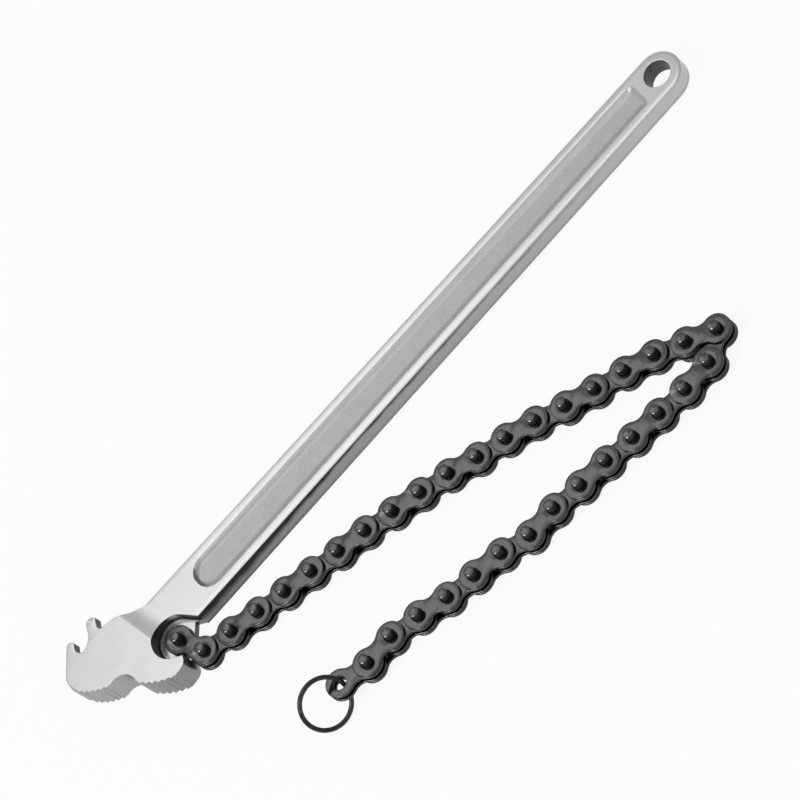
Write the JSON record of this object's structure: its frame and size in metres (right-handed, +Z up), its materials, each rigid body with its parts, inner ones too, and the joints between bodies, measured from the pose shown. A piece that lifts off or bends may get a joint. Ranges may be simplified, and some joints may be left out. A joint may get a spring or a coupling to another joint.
{
  "type": "chain wrench",
  "caption": "Chain pipe wrench lying flat: a forged handle with a toothed jaw and two hooks, and a bushed chain with long pins folded back beside it, with a ring at its end.",
  "frame": {"origin": "middle of the rectangle that the wrench covers, on the floor it lies on", "axes": "+X along the handle from the head to the hanging hole, +Y towards the side of the hooks, +Z up from the floor, the way the chain's long pins point"},
  "size_m": [0.384, 0.1576, 0.0216],
  "materials": {
    "forged_steel": "satin plated, with a matte sunk panel",
    "pin_link_steel": "blackened and oiled",
    "cover_plate_steel": "blackened and oiled",
    "inner_link_steel": "blackened and oiled",
    "ring_steel": "blackened wire"
  },
  "bodies": {
    "handle": {"handle": "forged_steel"},
    "link_01": {"pin_link_01": "pin_link_steel", "cover_plate_01": "cover_plate_steel"},
    "link_02": {"inner_link_02": "inner_link_steel"},
    "link_03": {"pin_link_03": "pin_link_steel", "cover_plate_03": "cover_plate_steel"},
    "link_04": {"inner_link_04": "inner_link_steel"},
    "link_05": {"pin_link_05": "pin_link_steel", "cover_plate_05": "cover_plate_steel"},
    "link_06": {"inner_link_06": "inner_link_steel"},
    "link_07": {"pin_link_07": "pin_link_steel", "cover_plate_07": "cover_plate_steel"},
    "link_08": {"inner_link_08": "inner_link_steel"},
    "link_09": {"pin_link_09": "pin_link_steel", "cover_plate_09": "cover_plate_steel"},
    "link_10": {"inner_link_10": "inner_link_steel"},
    "link_11": {"pin_link_11": "pin_link_steel", "cover_plate_11": "cover_plate_steel"},
    "link_12": {"inner_link_12": "inner_link_steel"},
    "link_13": {"pin_link_13": "pin_link_steel", "cover_plate_13": "cover_plate_steel"},
    "link_14": {"inner_link_14": "inner_link_steel"},
    "link_15": {"pin_link_15": "pin_link_steel", "cover_plate_15": "cover_plate_steel"},
    "link_16": {"inner_link_16": "inner_link_steel"},
    "link_17": {"pin_link_17": "pin_link_steel", "cover_plate_17": "cover_plate_steel"},
    "link_18": {"inner_link_18": "inner_link_steel"},
    "link_19": {"pin_link_19": "pin_link_steel", "cover_plate_19": "cover_plate_steel"},
    "link_20": {"inner_link_20": "inner_link_steel"},
    "link_21": {"pin_link_21": "pin_link_steel", "cover_plate_21": "cover_plate_steel"},
    "link_22": {"inner_link_22": "inner_link_steel"},
    "link_23": {"pin_link_23": "pin_link_steel", "cover_plate_23": "cover_plate_steel"},
    "link_24": {"inner_link_24": "inner_link_steel"},
    "link_25": {"pin_link_25": "pin_link_steel", "cover_plate_25": "cover_plate_steel"},
    "link_26": {"inner_link_26": "inner_link_steel"},
    "link_27": {"pin_link_27": "pin_link_steel", "cover_plate_27": "cover_plate_steel"},
    "link_28": {"inner_link_28": "inner_link_steel"},
    "link_29": {"pin_link_29": "pin_link_steel", "cover_plate_29": "cover_plate_steel"},
    "link_30": {"inner_link_30": "inner_link_steel"},
    "link_31": {"pin_link_31": "pin_link_steel", "cover_plate_31": "cover_plate_steel"},
    "link_32": {"inner_link_32": "inner_link_steel"},
    "link_33": {"pin_link_33": "pin_link_steel", "cover_plate_33": "cover_plate_steel"},
    "link_34": {"inner_link_34": "inner_link_steel"},
    "ring": {"end_ring": "ring_steel"}
  },
  "joints": [
    {"name": "anchor_pivot", "type": "hinge", "parent": "handle", "child": "link_01", "pos_m": [-0.14225, 0.03756, 0.0055], "axis": [0, 0, 1], "range_deg": [0, 13]},
    {"name": "chain_pivot_02", "type": "hinge", "parent": "link_01", "child": "link_02", "pos_m": [-0.13712, 0.02346, 0.0055], "axis": [0, 0, -1], "range_deg": [-14, 75]},
    {"name": "chain_pivot_03", "type": "hinge", "parent": "link_02", "child": "link_03", "pos_m": [-0.12256, 0.01984, 0.0055], "axis": [0, 0, 1], "range_deg": [-75, 16]},
    {"name": "chain_pivot_04", "type": "hinge", "parent": "link_03", "child": "link_04", "pos_m": [-0.10801, 0.01621, 0.0055], "axis": [0, 0, -1], "range_deg": [-18, 75]},
    {"name": "chain_pivot_05", "type": "hinge", "parent": "link_04", "child": "link_05", "pos_m": [-0.0934, 0.01283, 0.0055], "axis": [0, 0, 1], "range_deg": [-68, 20]},
    {"name": "chain_pivot_06", "type": "hinge", "parent": "link_05", "child": "link_06", "pos_m": [-0.07878, 0.00946, 0.0055], "axis": [0, 0, -1], "range_deg": [-22, 56]},
    {"name": "chain_pivot_07", "type": "hinge", "parent": "link_06", "child": "link_07", "pos_m": [-0.06423, 0.00583, 0.0055], "axis": [0, 0, 1], "range_deg": [-45, 24]},
    {"name": "chain_pivot_08", "type": "hinge", "parent": "link_07", "child": "link_08", "pos_m": [-0.04955, 0.00271, 0.0055], "axis": [0, 0, -1], "range_deg": [-27, 37]},
    {"name": "chain_pivot_09", "type": "hinge", "parent": "link_08", "child": "link_09", "pos_m": [-0.03513, -0.00142, 0.0055], "axis": [0, 0, 1], "range_deg": [-31, 30]},
    {"name": "chain_pivot_10", "type": "hinge", "parent": "link_09", "child": "link_10", "pos_m": [-0.02072, -0.00556, 0.0055], "axis": [0, 0, -1], "range_deg": [-33, 26]},
    {"name": "chain_pivot_11", "type": "hinge", "parent": "link_10", "child": "link_11", "pos_m": [-0.00637, -0.00994, 0.0055], "axis": [0, 0, 1], "range_deg": [-23, 38]},
    {"name": "chain_pivot_12", "type": "hinge", "parent": "link_11", "child": "link_12", "pos_m": [0.00754, -0.01556, 0.0055], "axis": [0, 0, -1], "range_deg": [-43, 20]},
    {"name": "chain_pivot_13", "type": "hinge", "parent": "link_12", "child": "link_13", "pos_m": [0.02188, -0.01995, 0.0055], "axis": [0, 0, 1], "range_deg": [-18, 50]},
    {"name": "chain_pivot_14", "type": "hinge", "parent": "link_13", "child": "link_14", "pos_m": [0.03589, -0.02532, 0.0055], "axis": [0, 0, -1], "range_deg": [-60, 16]},
    {"name": "chain_pivot_15", "type": "hinge", "parent": "link_14", "child": "link_15", "pos_m": [0.04948, -0.03166, 0.0055], "axis": [0, 0, 1], "range_deg": [-14, 74]},
    {"name": "chain_pivot_16", "type": "hinge", "parent": "link_15", "child": "link_16", "pos_m": [0.06339, -0.03728, 0.0055], "axis": [0, 0, -1], "range_deg": [-74, 13]},
    {"name": "chain_pivot_17", "type": "hinge", "parent": "link_16", "child": "link_17", "pos_m": [0.07748, -0.04241, 0.0055], "axis": [0, 0, 1], "range_deg": [-11, 74]},
    {"name": "chain_pivot_18", "type": "hinge", "parent": "link_17", "child": "link_18", "pos_m": [0.09129, -0.04827, 0.0055], "axis": [0, 0, -1], "range_deg": [-75, 10]},
    {"name": "chain_pivot_19", "type": "hinge", "parent": "link_18", "child": "link_19", "pos_m": [0.10428, -0.05577, 0.0055], "axis": [0, 0, 1], "range_deg": [-10, 75]},
    {"name": "chain_pivot_20", "type": "hinge", "parent": "link_19", "child": "link_20", "pos_m": [0.11727, -0.06327, 0.0055], "axis": [0, 0, -1], "range_deg": [-75, 4]},
    {"name": "chain_pivot_21", "type": "hinge", "parent": "link_20", "child": "link_21", "pos_m": [0.10469, -0.07144, 0.0055], "axis": [0, 0, 1], "range_deg": [-10, 62]},
    {"name": "chain_pivot_22", "type": "hinge", "parent": "link_21", "child": "link_22", "pos_m": [0.0897, -0.07197, 0.0055], "axis": [0, 0, -1], "range_deg": [-62, 11]},
    {"name": "chain_pivot_23", "type": "hinge", "parent": "link_22", "child": "link_23", "pos_m": [0.07478, -0.0704, 0.0055], "axis": [0, 0, 1], "range_deg": [-12, 74]},
    {"name": "chain_pivot_24", "type": "hinge", "parent": "link_23", "child": "link_24", "pos_m": [0.05987, -0.06883, 0.0055], "axis": [0, 0, -1], "range_deg": [-74, 13]},
    {"name": "chain_pivot_25", "type": "hinge", "parent": "link_24", "child": "link_25", "pos_m": [0.04501, -0.06674, 0.0055], "axis": [0, 0, 1], "range_deg": [-15, 62]},
    {"name": "chain_pivot_26", "type": "hinge", "parent": "link_25", "child": "link_26", "pos_m": [0.03007, -0.06544, 0.0055], "axis": [0, 0, -1], "range_deg": [-62, 16]},
    {"name": "chain_pivot_27", "type": "hinge", "parent": "link_26", "child": "link_27", "pos_m": [0.01521, -0.06335, 0.0055], "axis": [0, 0, 1], "range_deg": [-18, 74]},
    {"name": "chain_pivot_28", "type": "hinge", "parent": "link_27", "child": "link_28", "pos_m": [0.00022, -0.06361, 0.0055], "axis": [0, 0, -1], "range_deg": [-74, 21]},
    {"name": "chain_pivot_29", "type": "hinge", "parent": "link_28", "child": "link_29", "pos_m": [-0.01397, -0.05873, 0.0055], "axis": [0, 0, 1], "range_deg": [-25, 74]},
    {"name": "chain_pivot_30", "type": "hinge", "parent": "link_29", "child": "link_30", "pos_m": [-0.02874, -0.05612, 0.0055], "axis": [0, 0, -1], "range_deg": [-74, 30]},
    {"name": "chain_pivot_31", "type": "hinge", "parent": "link_30", "child": "link_31", "pos_m": [-0.04351, -0.05352, 0.0055], "axis": [0.02, -0.0061, 0.9998], "range_deg": [-38, 62]},
    {"name": "chain_pivot_32", "type": "hinge", "parent": "link_31", "child": "link_32", "pos_m": [-0.05785, -0.04913, 0.00581], "axis": [-0.02, 0.0061, -0.9998], "range_deg": [-74, 50]},
    {"name": "chain_pivot_33", "type": "hinge", "parent": "link_32", "child": "link_33", "pos_m": [-0.07256, -0.04627, 0.00644], "axis": [0.0614, -0.0086, 0.9981], "range_deg": [-70, 75]},
    {"name": "chain_pivot_34", "type": "hinge", "parent": "link_33", "child": "link_34", "pos_m": [-0.0875, -0.04733, 0.00735], "axis": [-0.0614, 0.0086, -0.9981], "range_deg": [-75, 75]},
    {"name": "ring_swivel", "type": "hinge", "parent": "link_34", "child": "ring", "pos_m": [-0.10206, -0.04396, 0.00859], "axis": [0.0818, -0.0133, 0.9966], "range_deg": [-60, 60]}
  ]
}
